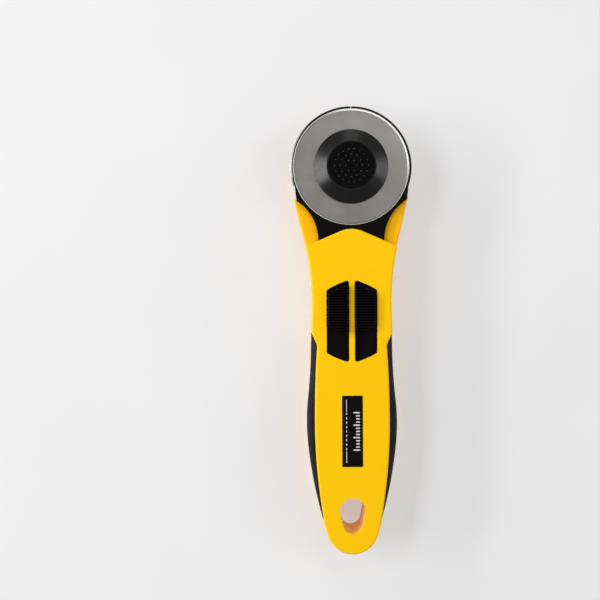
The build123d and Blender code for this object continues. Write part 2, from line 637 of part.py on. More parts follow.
def latch_fork():
    """Steel plate with two tines that straddle the neck of the spindle."""
    tail_y = FORK_BACK_Y - FORK_TAIL
    plate = Pos(0, (FORK_TIP_Y + tail_y) / 2) * Rectangle(2 * FORK_HALF, FORK_TIP_Y - tail_y)
    gap_r = GROOVE_R + FORK_GAP
    mouth = Circle(gap_r) + Pos(0, FORK_TIP_Y) * Rectangle(2 * gap_r, 2 * FORK_TIP_Y)
    fork = slab(fillet(plate.vertices(), FORK_CORNER_R) - mouth, FORK_Z, FORK_TOP)
    tab_half = FORK_HALF - FORK_CORNER_R
    fork += box(-tab_half, tab_half, FORK_BACK_Y, FORK_BACK_Y + FORK_T, FORK_Z, FORK_TOP + FORK_TAB_H)
    for y in rivet_ys():
        fork -= pin(0, y, RIVET_R + PEG_FIT, BELOW, ABOVE)
    return fork


def latch_rivets():
    rivets = []
    for y in rivet_ys():
        shank = pin(0, y, RIVET_R, CHANNEL_Z + PEG_FIT, FORK_TOP)
        head = pin(0, y, RIVET_HEAD_R, FORK_TOP, FORK_TOP + RIVET_HEAD_T)
        rivets.append(shank + head)
    return Compound(rivets)


def release_spring():
    run = SPRING_LENGTH - SPRING_WIRE
    path = Helix(run / SPRING_TURNS, run, SPRING_R)
    across = Plane(origin=path @ 0, x_dir=(1, 0, 0), z_dir=path % 0)
    coil = sweep(across * RegularPolygon(SPRING_WIRE / 2, SPRING_WIRE_FLATS), path, is_frenet=True)
    start = FORK_BACK_Y - SPRING_LENGTH + SPRING_WIRE / 2
    return Pos(0, start, spring_axis_z()) * Rot(-90, 0, 0) * coil


def click_spring(side):
    """Leaf that bears in the track under one tongue of the guard."""
    foot = CLICK_POST_Z + CLICK_T / 2
    crown = GUARD_Z + TRACK_DEPTH - SLIDE_GAP - CLICK_T / 2
    path = FilletPolyline((CLICK_POST_Y - CLICK_FOOT[0], foot), (CLICK_POST_Y + CLICK_FOOT[1], foot),
                          (CLICK_CROWN_Y, crown),
                          (CLICK_CROWN_Y + CLICK_LIP_RUN, crown - CLICK_LIP_DROP),
                          radius=CLICK_BEND_R)
    leaf = extrude(Plane.YZ * trace(path, CLICK_T), CLICK_W / 2, both=True)
    leaf = Pos(CLICK_X, 0, 0) * leaf
    leaf -= pin(CLICK_X, CLICK_POST_Y, CLICK_PEG_R + PEG_FIT, BELOW, ABOVE)
    return leaf if side > 0 else mirrored(leaf)


def case_screws():
    """Pan-headed screws with a cross slot, let into the back."""
    head_z, shank_z, end_z = SCREW_SINK, SCREW_SINK + SCREW_HEAD_H, SCREW_SINK + SCREW_LENGTH
    screw = turned([(0, head_z), (SCREW_HEAD_R, head_z), (SCREW_HEAD_R, shank_z),
                    (SCREW_R, shank_z), (SCREW_R, end_z), (0, end_z)])
    for turn in (0, 90):
        drive = box(-SCREW_DRIVE_L / 2, SCREW_DRIVE_L / 2, -SCREW_DRIVE_W / 2, SCREW_DRIVE_W / 2,
                    BELOW, head_z + SCREW_DRIVE_DEPTH)
        screw -= Rot(0, 0, turn) * drive
    return Compound([Pos(x, y) * screw for x, y in SCREW_PLACES])


def write(name, shape):
    """Write one piece, moved so that the middle of the tool is at the origin."""
    export_step(Pos(0, HEAD_SHIFT, 0) * shape, f"parts/{name}.step")


os.makedirs("parts", exist_ok=True)
write("rear_body", rear_body())
write("front_cover", front_cover())
write("spindle_bush", spindle_bush())
write("badge", badge())
write("case_screws", case_screws())
write("blade", blade())
write("hub_cap", hub_cap())
write("spindle", spindle())
write("spring_washer", spring_washer())
write("release_slider", release_slider())
write("latch_fork", latch_fork())
write("latch_rivets", latch_rivets())
write("release_spring", release_spring())
for side_name, side_sign in (("left", -1), ("right", 1)):
    write(f"grip_{side_name}", grip(side_sign))
    write(f"guard_{side_name}", guard(side_sign))
    write(f"thumb_pad_{side_name}", thumb_pad(side_sign))
    write(f"click_spring_{side_name}", click_spring(side_sign))
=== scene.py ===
# %% [markdown]
# # A hand-held rotary cutter
#
# A rotary cutter is a round razor blade on a handle. It rolls through cloth and paper, and a
# black guard in two halves covers the edge until a thumb pulls the halves back. The CAD model
# already holds every rigid piece at its true size, so this file gives those pieces their
# finishes, adds what is thinner or springier than CAD draws well, and sets up the studio.

# %% Load the fixed frame
from math import atan, cos, pi, radians, sin

import bmesh
import bpy
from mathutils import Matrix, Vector


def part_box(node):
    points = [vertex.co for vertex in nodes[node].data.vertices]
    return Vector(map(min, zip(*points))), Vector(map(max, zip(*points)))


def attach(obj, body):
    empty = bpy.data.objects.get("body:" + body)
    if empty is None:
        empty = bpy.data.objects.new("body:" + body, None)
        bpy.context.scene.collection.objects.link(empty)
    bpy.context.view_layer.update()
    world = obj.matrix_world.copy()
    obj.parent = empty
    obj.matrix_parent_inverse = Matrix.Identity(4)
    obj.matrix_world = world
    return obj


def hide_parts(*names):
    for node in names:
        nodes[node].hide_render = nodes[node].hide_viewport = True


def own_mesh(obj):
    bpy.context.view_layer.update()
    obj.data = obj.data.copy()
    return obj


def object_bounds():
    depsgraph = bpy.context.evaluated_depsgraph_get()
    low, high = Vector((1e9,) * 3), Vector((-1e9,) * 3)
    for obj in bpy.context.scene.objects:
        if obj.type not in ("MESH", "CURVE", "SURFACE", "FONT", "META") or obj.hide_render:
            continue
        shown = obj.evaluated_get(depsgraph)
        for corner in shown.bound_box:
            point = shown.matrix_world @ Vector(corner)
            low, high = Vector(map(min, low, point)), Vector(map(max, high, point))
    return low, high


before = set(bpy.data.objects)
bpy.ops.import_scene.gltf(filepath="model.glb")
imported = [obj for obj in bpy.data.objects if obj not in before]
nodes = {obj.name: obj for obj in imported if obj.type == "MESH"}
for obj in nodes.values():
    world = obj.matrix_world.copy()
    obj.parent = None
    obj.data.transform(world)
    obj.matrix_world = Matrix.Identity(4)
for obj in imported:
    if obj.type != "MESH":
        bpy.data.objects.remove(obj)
cad_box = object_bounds()
MM = 0.001
print("pieces in the frame:", len(nodes))

# %% [markdown]
# ## Where things are
#
# Places could be typed in by hand, but they would be wrong as soon as the CAD model changed. So
# they come from the frame: the middle of the blade's box is the blade's axis, and the boxes of
# the guard, the hub, the badge and the spring say where those pieces lie.

# %% Measure the frame
blade_low, blade_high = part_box("blade")
blade_axis = (blade_low + blade_high) / 2
blade_radius = (blade_high.x - blade_low.x) / 2
overall = cad_box[1] - cad_box[0]
print("overall size in mm:", [round(side / MM, 1) for side in overall])
print("blade axis in mm:", [round(place / MM, 2) for place in blade_axis])
print("blade radius in mm:", round(blade_radius / MM, 2))

# %% [markdown]
# ## Tools for making finishes
#
# Paint and plastic colours are known as sRGB hex codes, while shaders add light in linear
# numbers, so one function turns the first into the second. A second small function adds a node
# with its settings and its links, which keeps each material short enough to read.

# %% Colour and node helpers
def colour(hex_code):
    """An sRGB hex code as the linear colour that shaders use."""
    channels = [int(hex_code[i:i + 2], 16) / 255 for i in (1, 3, 5)]
    linear = [c / 12.92 if c <= 0.04045 else ((c + 0.055) / 1.055) ** 2.4 for c in channels]
    return (*linear, 1.0)


def add(tree, kind, settings=None, links=None):
    """Adds a node; settings name its options and inputs, and links feed its inputs."""
    node = tree.nodes.new(kind)
    for name, value in (settings or {}).items():
        if isinstance(name, int) or name in node.inputs.keys():
            node.inputs[name].default_value = value
        else:
            setattr(node, name, value)
    for name, source in (links or {}).items():
        tree.links.new(source, node.inputs[name])
    return node


print("yellow of the handle in linear light:", [round(c, 3) for c in colour("#FFCA02")])


# %% [markdown]
# ## How a finish is built
#
# A finish starts as a Principled shader with its fixed numbers on its own sockets. Its patterns
# could be image files, but those need unwrapping and blur when seen close to, while noise has
# no seams and stays sharp. Patterns are placed by Object coordinates: those are metres in the
# tool's own frame, so a pattern that is given in millimetres comes out at its true size and
# moves with its piece. A finish then says up to three things: its colour, gloss and relief.

# %% Start of every finish
def finish(name, **fixed):
    """A new material; returns it with its node tree, its shader and the place socket."""
    material = bpy.data.materials.new(name)
    material.use_nodes = True
    tree = material.node_tree
    tree.nodes.clear()
    settings = {key.replace("_", " "): value for key, value in fixed.items()}
    shader = add(tree, "ShaderNodeBsdfPrincipled", settings)
    add(tree, "ShaderNodeOutputMaterial", links={"Surface": shader.outputs["BSDF"]})
    place = add(tree, "ShaderNodeTexCoord").outputs["Object"]
    return material, tree, shader, place


def patches(tree, place, size_mm, low, high, detail=2.0):
    """Soft patches of a real size whose value wanders between two numbers.

    Noise seldom leaves the range from 0.3 to 0.7, so that range is spread over the two numbers.
    """
    noise = add(tree, "ShaderNodeTexNoise", {"Scale": 1 / (size_mm * MM), "Detail": detail},
                {"Vector": place})
    spread = add(tree, "ShaderNodeMapRange",
                 {"From Min": 0.3, "From Max": 0.7, "To Min": low, "To Max": high},
                 {"Value": noise.outputs["Fac"]})
    return spread.outputs["Result"]


# %% Colour, gloss and relief
# The sockets of a Mix node share their names, so they go by number: 0 is the share, 2 and 3 are
# two numbers, 6 and 7 are two colours, and it gives out a number at 0 and a colour at 2.

def two_tone(tree, shader, share, first, second):
    """Lets the base colour wander between two hex colours; returns the mixed colour."""
    mix = add(tree, "ShaderNodeMix", {"data_type": "RGBA", 6: colour(first), 7: colour(second)},
              {0: share})
    tree.links.new(mix.outputs[2], shader.inputs["Base Color"])
    return mix.outputs[2]


def gloss(tree, shader, roughness):
    """Lets the roughness vary: a low one mirrors sharply and a high one looks matt."""
    tree.links.new(roughness, shader.inputs["Roughness"])


def relief(tree, shader, height, depth_mm):
    """Real relief of a given depth, where height runs from 0 to 1."""
    bump = add(tree, "ShaderNodeBump", {"Strength": 1.0, "Distance": depth_mm * MM},
               {"Height": height})
    tree.links.new(bump.outputs["Normal"], shader.inputs["Normal"])


def wear(nodes_named, material):
    """Gives CAD pieces a finish."""
    for name in nodes_named:
        nodes[name].material_slots[0].material = material
    print(material.name, "->", ", ".join(nodes_named))


# %% [markdown]
# ## Handle: injection-moulded ABS
#
# The two shells are tough glossy ABS, coloured right through. Moulded ABS looks flat in colour
# at arm's length; close to, the gloss varies a little where the plastic cooled unevenly, and the
# steel mould leaves a fine spark-eroded grain. One plain colour would look like paint, so wide
# patches of gloss and a shallow grain are added. The real grain is under 0.1 mm, too fine to
# show, so it is drawn at 0.45 mm and very shallow. The rear shell's warmer, more orange yellow
# is painted shade, standing in for the orange shade on the horns under the guard.

# %% Yellow ABS
def moulded_abs(name, first, second):
    material, tree, shader, place = finish(name, IOR=1.54, Specular_IOR_Level=0.15)
    two_tone(tree, shader, patches(tree, place, 45, 0, 1), first, second)
    gloss(tree, shader, patches(tree, place, 6, 0.27, 0.36))
    relief(tree, shader, patches(tree, place, 0.45, 0, 1), 0.004)
    return material


wear(["front_cover"], moulded_abs("abs_moulded_yellow_front", "#FFCA02", "#FFC702"))
# The rear shell's more orange yellow is painted shade, for the shade on the horns under the guard.
wear(["rear_body"], moulded_abs("abs_yellow_back_painted_shade", "#FFBE02", "#FFBA02"))


# %% [markdown]
# ## Grips: soft elastomer
#
# The strips along the sides are a rubbery thermoplastic elastomer. It is matt, and its surface
# scatters light at glancing angles: near black where it faces the eye and charcoal where it
# rolls away. A second, velvet-like shader could be mixed in for that, but a little sheen on the
# one shader is enough. The mould's texture is drawn at 0.3 mm, coarser than the real one, which
# is too fine to show.

# %% Black elastomer
def soft_elastomer():
    material, tree, shader, place = finish("elastomer_moulded_black", IOR=1.5,
                                           Specular_IOR_Level=0.2, Sheen_Weight=0.02,
                                           Sheen_Roughness=0.45)
    two_tone(tree, shader, patches(tree, place, 9, 0, 1), "#0D0A0B", "#151214")
    gloss(tree, shader, patches(tree, place, 3, 0.5, 0.64))
    relief(tree, shader, patches(tree, place, 0.3, 0, 1, detail=4), 0.02)
    return material


wear(["grip_left", "grip_right"], soft_elastomer())


# %% [markdown]
# ## Thumb pads and slider: black nylon
#
# Parts that slide are glass-filled nylon. It runs without grease and moulds with a satin skin,
# a touch warmer than true black. The glass fibres show as faint flecks in the gloss. Each fibre
# is about a hundredth of a millimetre thick, far too fine to show, so flecks of 1.2 mm stand for
# them, and the grain of the skin is drawn at 0.35 mm for the same reason.

# %% Black nylon
def moulded_nylon(name, **more):
    material, tree, shader, place = finish(name, IOR=1.53, Specular_IOR_Level=0.08, **more)
    two_tone(tree, shader, patches(tree, place, 12, 0, 1), "#070403", "#0C0706")
    gloss(tree, shader, patches(tree, place, 1.2, 0.36, 0.5, detail=5))
    relief(tree, shader, patches(tree, place, 0.35, 0, 1, detail=3), 0.006)
    return material, tree, shader, place


wear(["thumb_pad_left", "thumb_pad_right", "release_slider"],
     moulded_nylon("nylon_moulded_black")[0])


# %% [markdown]
# ## Guard: black nylon with a polished rim
#
# The guard is the same nylon. Its rim slopes away from the blade, and that slope and the sides
# are polished in the mould, so that cloth slides along them. They catch the light as a thin
# bright line. A separate rim in the mesh would have to follow the CAD shape exactly, so a clear
# coat stands for the polish: it is on wherever the surface lies below the guard's flat top.

# %% Guard with a polished rim
FLAT_TOP_SKIN = 0.04 * MM


def polished_rim_nylon():
    material, tree, shader, place = moulded_nylon("nylon_moulded_black_polished_rim",
                                                  Coat_Roughness=0.12)
    height = add(tree, "ShaderNodeSeparateXYZ", links={"Vector": place}).outputs["Z"]
    guard_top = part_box("guard_left")[1].z
    polish = add(tree, "ShaderNodeMapRange",
                 {"From Min": guard_top - 2 * FLAT_TOP_SKIN, "From Max": guard_top - FLAT_TOP_SKIN,
                  "To Min": 1.0, "To Max": 0.0}, {"Value": height})
    tree.links.new(polish.outputs["Result"], shader.inputs["Coat Weight"])
    return material


wear(["guard_left", "guard_right"], polished_rim_nylon())


# %% [markdown]
# ## Rings about the blade's axis
#
# The blade is ground and the spindle and the hub's mould are turned, so their fine marks are
# circles about one axis. An anisotropic shader would blur the highlight across them, but it
# draws no marks to be seen close to. Noise along the distance from that axis gives real rings.

# %% Distance from the blade's axis
def radius_from_axis(tree, place):
    """Distance from the blade's axis, in metres."""
    moved = add(tree, "ShaderNodeVectorMath", {"operation": "SUBTRACT", 1: blade_axis},
                {0: place})
    flat = add(tree, "ShaderNodeVectorMath", {"operation": "MULTIPLY", 1: (1, 1, 0)},
               {0: moved.outputs["Vector"]})
    length = add(tree, "ShaderNodeVectorMath", {"operation": "LENGTH"},
                 {0: flat.outputs["Vector"]})
    return length.outputs["Value"]


def turning_marks(tree, radius, pitch_mm):
    """Circular tool marks of a given pitch and uneven strength, from 0 to 1."""
    at = add(tree, "ShaderNodeCombineXYZ", links={"X": radius})
    noise = add(tree, "ShaderNodeTexNoise",
                {"Scale": 1 / (pitch_mm * MM), "Detail": 3.0, "Roughness": 0.675},
                {"Vector": at.outputs["Vector"]})
    return noise.outputs["Fac"]


# %% [markdown]
# ## Blade: ground tool steel
#
# The blade is hardened tungsten tool steel. Its faces are ground flat, which leaves a satin
# grey with faint circular marks, and a narrow ring at the rim is ground again at an angle and
# honed. That ring is smoother, so it mirrors the lamps. The honed line at its very edge is
# rougher and scatters the lamps' light, and its paler tone is painted highlight, which keeps it
# bright all round. These could be three materials, but the blade is one piece of steel, so two
# masks by radius change one material's gloss and tone. Marks from grinding are some 0.05 mm
# apart, too fine to show, so they are drawn at 0.4 mm.

# %% Tool steel
BLADE_BEVEL = 0.7 * MM
HONED_LINE_AND_HIGHLIGHT = 0.22 * MM
BEVEL_BLEND = 0.1 * MM
HONED_BLEND = 0.05 * MM
BEVEL_ROUGHNESS = 0.2
HONED_ROUGHNESS = 0.55


def beyond(tree, value, limit, soft):
    """0 where a value is under a limit and 1 where it is over, with a short soft step."""
    step = add(tree, "ShaderNodeMapRange", {"From Min": limit - soft, "From Max": limit,
                                            "To Min": 0.0, "To Max": 1.0}, {"Value": value})
    return step.outputs["Result"]


def ground_tool_steel():
    material, tree, shader, place = finish("tool_steel_ground", Metallic=1.0)
    radius = radius_from_axis(tree, place)
    on_bevel = beyond(tree, radius, blade_radius - BLADE_BEVEL, BEVEL_BLEND)
    on_honed_line_and_highlight = beyond(tree, radius, blade_radius - HONED_LINE_AND_HIGHLIGHT, HONED_BLEND)
    face = two_tone(tree, shader, patches(tree, place, 14, 0, 1), "#C8C4C0", "#BBB6B1")
    # The honed line's paler tone is painted highlight; its rougher gloss, set below, is real.
    tone_with_painted_highlight = add(tree, "ShaderNodeMix", {"data_type": "RGBA", 7: colour("#D9D5D0")},
               {0: on_honed_line_and_highlight, 6: face})
    tree.links.new(tone_with_painted_highlight.outputs[2], shader.inputs["Base Color"])
    inner = add(tree, "ShaderNodeMix", {"data_type": "FLOAT", 3: BEVEL_ROUGHNESS},
                {0: on_bevel, 2: patches(tree, place, 5, 0.28, 0.33, detail=4)})
    whole = add(tree, "ShaderNodeMix", {"data_type": "FLOAT", 3: HONED_ROUGHNESS},
                {0: on_honed_line_and_highlight, 2: inner.outputs[0]})
    gloss(tree, shader, whole.outputs[0])
    relief(tree, shader, turning_marks(tree, radius, 0.4), 0.002)
    return material


wear(["blade"], ground_tool_steel())


# %% [markdown]
# ## Hub: glossy black acetal
#
# The cap that carries the blade is acetal, moulded in a turned and polished mould, so it is
# glossier than the guard and its cone mirrors the light from each side as a soft band. With no
# marks at all the bands would look like drawn stripes, so the mould's rings break them up. The
# real rings are finer than 0.1 mm, too fine to show, and are drawn at 0.3 mm.

# %% Black acetal
def polished_acetal():
    material, tree, shader, place = finish("acetal_moulded_black", IOR=1.48)
    radius = radius_from_axis(tree, place)
    two_tone(tree, shader, patches(tree, place, 8, 0, 1), "#050404", "#0A0807")
    gloss(tree, shader, patches(tree, place, 3, 0.22, 0.3, detail=3))
    relief(tree, shader, turning_marks(tree, radius, 0.3), 0.003)
    return material


black_acetal = polished_acetal()
wear(["hub_cap"], black_acetal)


# %% [markdown]
# ## Hub inlay: matt black disc with grip pips
#
# The dish in the middle of the hub holds a thin disc of matt black, spark-eroded plastic with
# rings of small polished pips for the fingertip. Bump could draw the pips, but the mesh would be
# flat there, so they are modelled: the disc is one mesh, a plate with a sloping edge, and low
# domes that a loop sets out on circles. The domes have the hub's own gloss, so each shows a
# point of light. The plate's grain is drawn at 0.3 mm, as the real one is too fine to show.

# %% Put things in the scene
def new_object(name, data):
    """Puts a mesh, a lamp or a camera in the scene."""
    made = bpy.data.objects.new(name, data)
    bpy.context.scene.collection.objects.link(made)
    return made


def new_piece(name, mesh, materials):
    """A piece made from a bmesh; its faces pick from the materials by number."""
    data = bpy.data.meshes.new(name)
    mesh.to_mesh(data)
    mesh.free()
    for material in materials:
        data.materials.append(material)
    print(name, "faces:", len(data.polygons))
    return new_object(name, data)


# %% Matt black plastic
def matt_black():
    material, tree, shader, place = finish("plastic_spark_eroded_black", IOR=1.5,
                                           Specular_IOR_Level=0.06)
    two_tone(tree, shader, patches(tree, place, 3, 0, 1), "#050404", "#090707")
    gloss(tree, shader, patches(tree, place, 0.6, 0.5, 0.65, detail=4))
    relief(tree, shader, patches(tree, place, 0.3, 0, 1, detail=3), 0.008)
    return material


# %% Hub inlay
HUB_DISH_DEPTH = 0.3 * MM
INLAY_RADIUS = 8.95 * MM
INLAY_THICKNESS = 0.08 * MM
PIP_RADIUS = 0.32 * MM
PIP_HEIGHT = 0.1 * MM
PIP_RINGS = [(2.2 * MM, 6), (4.3 * MM, 12), (6.4 * MM, 18)]


def hub_inlay():
    """The disc and its pips, standing on the floor of the hub's dish."""
    floor_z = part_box("hub_cap")[1].z - HUB_DISH_DEPTH
    mesh = bmesh.new()
    plate = bmesh.ops.create_cone(mesh, cap_ends=True, segments=96, radius1=INLAY_RADIUS,
                                  radius2=INLAY_RADIUS - INLAY_THICKNESS / 2,
                                  depth=INLAY_THICKNESS)
    bmesh.ops.translate(mesh, verts=plate["verts"],
                        vec=(blade_axis.x, blade_axis.y, floor_z + INLAY_THICKNESS / 2))
    plate_faces = set(mesh.faces)
    for ring, count in PIP_RINGS:
        for step in range(count):
            turn = 2 * pi * step / count
            dome = bmesh.ops.create_icosphere(mesh, subdivisions=2, radius=PIP_RADIUS)
            bmesh.ops.scale(mesh, vec=(1, 1, PIP_HEIGHT / PIP_RADIUS), verts=dome["verts"])
            bmesh.ops.translate(mesh, verts=dome["verts"],
                                vec=(blade_axis.x + ring * cos(turn),
                                     blade_axis.y + ring * sin(turn),
                                     floor_z + INLAY_THICKNESS))
    for face in mesh.faces:
        face.material_index = 0 if face in plate_faces else 1
        face.smooth = face not in plate_faces
    inlay = new_piece("hub_inlay", mesh, [matt_black(), black_acetal])
    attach(inlay, "cutter")
    print("pips on the hub:", sum(count for ring, count in PIP_RINGS))


hub_inlay()


# %% [markdown]
# ## Spindle and rivets: turned steel
#
# These are turned from free-cutting steel bar, bright and left bare. The lathe tool leaves fine
# rings, which spread the highlight across them. Each piece could have rings about its own axis,
# but the small rivets hardly show theirs, so all of them use the rings about the blade's axis,
# which is the spindle's too. Real rings are about 0.1 mm apart, too fine to show, so they are
# drawn at 0.25 mm.

# %% Turned steel
def turned_steel():
    material, tree, shader, place = finish("steel_turned_bright", Metallic=1.0)
    radius = radius_from_axis(tree, place)
    two_tone(tree, shader, patches(tree, place, 2, 0, 1), "#C9C8C5", "#B4B2AF")
    gloss(tree, shader, patches(tree, place, 1, 0.22, 0.34))
    relief(tree, shader, turning_marks(tree, radius, 0.25), 0.004)
    return material


wear(["spindle", "latch_rivets"], turned_steel())


# %% [markdown]
# ## Springs and fork: tempered spring steel
#
# Springs and the latch fork are hardened and tempered, which leaves a thin oxide: a darker,
# slightly brown or blue steel with cloudy patches. A thin-film shader could work out such
# colours, but here they are so faint that two near greys, mixed by soft noise, are enough. The
# grain of the rolled strip is drawn at 0.25 mm, as the real one is too fine to show.

# %% Spring steel
def tempered_steel():
    material, tree, shader, place = finish("spring_steel_tempered", Metallic=1.0)
    two_tone(tree, shader, patches(tree, place, 3, 0, 1), "#8D8A88", "#6F6E75")
    gloss(tree, shader, patches(tree, place, 1.5, 0.28, 0.42, detail=4))
    relief(tree, shader, patches(tree, place, 0.25, 0, 1, detail=3), 0.004)
    return material


spring_steel = tempered_steel()
wear(["latch_fork", "spring_washer", "click_spring_left", "click_spring_right"], spring_steel)


# %% [markdown]
# ## Case screws: zinc plate
#
# Self-tapping screws are zinc plated and passivated: a bluish bright metal with a fine frosted
# crystal pattern. Soft noise has no crystals in it, so a cell pattern gives the tone and the
# relief. Real crystals are under 0.1 mm, too fine to show, so the cells are drawn at 0.4 mm.

# %% Zinc plate
CRYSTAL_MM = 0.4


def zinc_plate():
    material, tree, shader, place = finish("steel_zinc_plated", Metallic=1.0)
    cells = add(tree, "ShaderNodeTexVoronoi", {"Scale": 1 / (CRYSTAL_MM * MM)}, {"Vector": place})
    two_tone(tree, shader, cells.outputs["Distance"], "#C3C8CE", "#A9AEB8")
    gloss(tree, shader, patches(tree, place, 0.8, 0.25, 0.4))
    relief(tree, shader, cells.outputs["Distance"], 0.003)
    return material


wear(["case_screws"], zinc_plate())


# %% [markdown]
# ## Bush: natural acetal
#
# The spindle turns in a plain bush of uncoloured acetal, a milky plastic that lets a little
# light in below its surface. A plain white would look like chalk, so a part of its colour comes
# from light that is scattered half a millimetre deep.

# %% Natural acetal
def natural_acetal():
    material, tree, shader, place = finish("acetal_natural", IOR=1.48, Subsurface_Weight=0.2,
                                           Subsurface_Scale=0.5 * MM)
    two_tone(tree, shader, patches(tree, place, 4, 0, 1), "#E9E6DC", "#DFDCD0")
    gloss(tree, shader, patches(tree, place, 2, 0.3, 0.4))
    return material


wear(["spindle_bush"], natural_acetal())


# %% [markdown]
# ## Badge: film on a plastic plate
#
# A thin black plate is let into the handle. Its face is a film laid on with a hot press, which
# leaves it smooth but a little wavy, as the skin of an orange is. A flat face would mirror a
# lamp as one clean patch; waves 1.1 mm wide, about their real size, break that patch up.

# %% Black film
def pressed_film():
    material, tree, shader, place = finish("film_black_pressed", IOR=1.49,
                                           Specular_IOR_Level=0.12)
    two_tone(tree, shader, patches(tree, place, 5, 0, 1), "#0B0606", "#110A0A")
    gloss(tree, shader, patches(tree, place, 2, 0.22, 0.3))
    relief(tree, shader, patches(tree, place, 1.1, 0, 1), 0.004)
    return material


wear(["badge"], pressed_film())


# %% [markdown]
# ## Badge print
#
# The plate carries silver-grey foil: a row of cutting-line dashes with a fine line at each end,
# and a short scale of ticks beside it. The print could be a mask in the film's material, but
# foil has a real thickness of a few hundredths of a millimetre and edges that catch the light.
# So each mark is a thin raised strip with rounded corners, and all are in one mesh.

# %% Foil
def pressed_foil():
    material, tree, shader, place = finish("foil_silver_grey", Metallic=0.2, IOR=1.5)
    two_tone(tree, shader, patches(tree, place, 1.5, 0, 1), "#E6E4E2", "#D6D4D1")
    gloss(tree, shader, patches(tree, place, 0.8, 0.35, 0.5, detail=4))
    return material


# %% Layout of the print, in millimetres from the plate's middle
CUTTING_LINE_X = -2.3
END_LINE_Y = 9.9
END_LINE_WIDTH = 0.26
END_LINE_LENGTH = 4.6
DASHES = 9
DASH_PITCH = 1.7
DASH_WIDTH = 0.34
DASH_LENGTH = 1.0
TICKS = 13
TICK_PITCH = 1.2
TICK_THICKNESS = 0.55
TICK_FOOT_X = 2.9
LONG_TICK = 2.6
SHORT_TICK = 1.6
LONG_TICK_EVERY = 4


def foil_marks():
    """Each mark as x, y, width and length in millimetres from the plate's middle."""
    end_lines = [(CUTTING_LINE_X, side * END_LINE_Y, END_LINE_WIDTH, END_LINE_LENGTH)
                 for side in (-1, 1)]
    dashes = [(CUTTING_LINE_X, (step - DASHES // 2) * DASH_PITCH, DASH_WIDTH, DASH_LENGTH)
              for step in range(DASHES)]
    ticks = []
    for step in range(TICKS):
        reach = LONG_TICK if step % LONG_TICK_EVERY == 0 else SHORT_TICK
        ticks.append((TICK_FOOT_X - reach / 2, (step - TICKS // 2) * TICK_PITCH,
                      reach, TICK_THICKNESS))
    return end_lines + dashes + ticks


print("foil marks:", len(foil_marks()))


# %% Badge print
FOIL_THICKNESS = 0.03
CORNER_SHARE = 0.3


def foil_print():
    """Raised strips on the badge's face, rounded by a share of each strip's shorter side."""
    low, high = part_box("badge")
    middle = (low + high) / 2
    mesh = bmesh.new()
    for x, y, width, length in foil_marks():
        strip = bmesh.ops.create_cube(mesh, size=1.0)["verts"]
        bmesh.ops.scale(mesh, vec=Vector((width, length, FOIL_THICKNESS)) * MM, verts=strip)
        place = Vector((middle.x + x * MM, middle.y + y * MM, high.z + FOIL_THICKNESS * MM / 2))
        bmesh.ops.translate(mesh, vec=place, verts=strip)
        upright = [edge for edge in mesh.edges if edge.verts[0] in strip
                   and abs(edge.verts[0].co.z - edge.verts[1].co.z) > FOIL_THICKNESS * MM / 2]
        bmesh.ops.bevel(mesh, geom=upright, offset=min(width, length) * CORNER_SHARE * MM,
                        segments=3, affect="EDGES")
    foil = new_piece("badge_foil", mesh, [pressed_foil()])
    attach(foil, "handle")


foil_print()


# %% [markdown]
# ## Release spring
#
# A coil spring behind the latch fork pushes it home. A screw modifier could wind it, but a curve
# takes its turns, wire and length as plain numbers: a loop works out the helix, and a round
# bevel gives the wire. The curve then becomes a mesh of its own, which rides on the handle in
# place of the CAD spring. On the real tool the coils close up towards their fixed end as the
# slider is pulled back.

# %% Release spring
SPRING_TURNS = 5.5
SPRING_WIRE = 0.55 * MM
POINTS_PER_TURN = 20


def wound_wire(coil, start_y, run, middle_z):
    """The mesh of a wire wound along y, with a given radius at the wire's middle."""
    curve = bpy.data.curves.new("release_spring_wire", "CURVE")
    curve.dimensions = "3D"
    curve.bevel_depth = SPRING_WIRE / 2
    curve.bevel_resolution = 3
    curve.use_fill_caps = True
    count = int(SPRING_TURNS * POINTS_PER_TURN)
    spline = curve.splines.new("NURBS")
    spline.points.add(count)
    for index in range(count + 1):
        turn = 2 * pi * index / POINTS_PER_TURN
        along = start_y + run * index / count
        spline.points[index].co = (coil * cos(turn), along, middle_z + coil * sin(turn), 1)
    spline.order_u = 4
    spline.use_endpoint_u = True
    wire = bpy.data.objects.new("release_spring_wire", curve)
    data = bpy.data.meshes.new_from_object(wire)
    bpy.data.objects.remove(wire)
    for face in data.polygons:
        face.use_smooth = True
    return data


def release_spring():
    low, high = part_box("release_spring")
    coil = (high.x - low.x - SPRING_WIRE) / 2
    length = high.y - low.y
    middle_z = (low.z + high.z) / 2
    data = wound_wire(coil, low.y + SPRING_WIRE / 2, length - SPRING_WIRE, middle_z)
    data.materials.clear()
    data.materials.append(spring_steel)
    spring = new_object("release_spring_coil", data)
    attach(spring, "handle")
    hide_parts("release_spring")
    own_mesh(spring)
    print("spring length in mm:", round(length / MM, 2), "coil radius:", round(coil / MM, 2))


release_spring()


# %% [markdown]
# ## Floor
#
# The tool lies on a sheet of milk-white acrylic, as on a light table. A white card would take
# the same shadows, but no light would reach the back of the tool. Half of the acrylic's white is
# light that comes up through it, which also lights the back. Seen from below the sheet is clear,
# so that the back can be looked at.

# %% Floor
FLOOR_HALF = 4.0
THROUGH_LIGHT = 0.5


